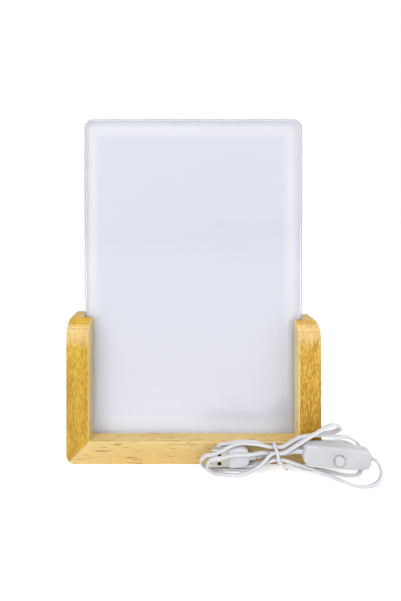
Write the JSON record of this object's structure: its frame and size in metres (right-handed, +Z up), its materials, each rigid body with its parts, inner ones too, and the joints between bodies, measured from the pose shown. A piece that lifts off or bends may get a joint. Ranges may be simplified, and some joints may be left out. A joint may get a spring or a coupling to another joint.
{
  "type": "acrylic night light",
  "caption": "USB night light: clear upright acrylic plate with a white backing, held in the grooves of a U-shaped wooden frame, with an inline switch on a tied cord.",
  "frame": {"origin": "centre of the frame's footprint on the table", "axes": "+Z up, -Y towards the viewer in front of the plate, +X to the viewer's right"},
  "size_m": [0.2144, 0.0733, 0.2463],
  "materials": {
    "beech": "clear satin lacquer over pale, flecked grain",
    "dowel_beech": "plain turned wood, hidden in the joints",
    "acrylic": "clear, polished faces and edges",
    "white_film": "white satin film",
    "white_board": "white solder resist",
    "led_phosphor": "yellow phosphor gel",
    "red_wire": "smooth insulation",
    "black_wire": "smooth insulation",
    "white_plastic": "moulded, soft gloss",
    "white_pvc": "smooth, flexible sheath",
    "dark_plastic": "moulded",
    "plated_steel": "bright plated, warm tint"
  },
  "bodies": {
    "lamp": {"left_post": "beech", "right_post": "beech", "bottom_rail": "beech", "left_front_dowel": "dowel_beech", "left_rear_dowel": "dowel_beech", "right_front_dowel": "dowel_beech", "right_rear_dowel": "dowel_beech", "led_board": "white_board", "led_01": "led_phosphor", "led_02": "led_phosphor", "led_03": "led_phosphor", "led_04": "led_phosphor", "led_05": "led_phosphor", "led_06": "led_phosphor", "led_07": "led_phosphor", "led_08": "led_phosphor", "led_09": "led_phosphor", "feed_wire_red": "red_wire", "feed_wire_black": "black_wire", "cord_grommet": "white_plastic", "switch_front_shell": "white_plastic", "switch_rear_shell": "white_plastic", "usb_plug_grip": "white_plastic", "lamp_lead": "white_pvc", "cord_hank": "white_pvc", "cord_tie": "white_pvc", "latch_switch": "dark_plastic", "usb_plug_tongue": "dark_plastic", "usb_plug_shell": "plated_steel"},
    "plate": {"acrylic_panel": "acrylic", "backing_film": "white_film"},
    "button": {"push_button": "white_plastic"}
  },
  "joints": [
    {"name": "panel_lift", "type": "slide", "parent": "lamp", "child": "plate", "axis": [0, 0, 1], "range_m": [0, 0.095]},
    {"name": "button_press", "type": "slide", "parent": "lamp", "child": "button", "axis": [0, 1, 0], "range_m": [0, 0.001], "stiffness_N_per_m": 300}
  ]
}
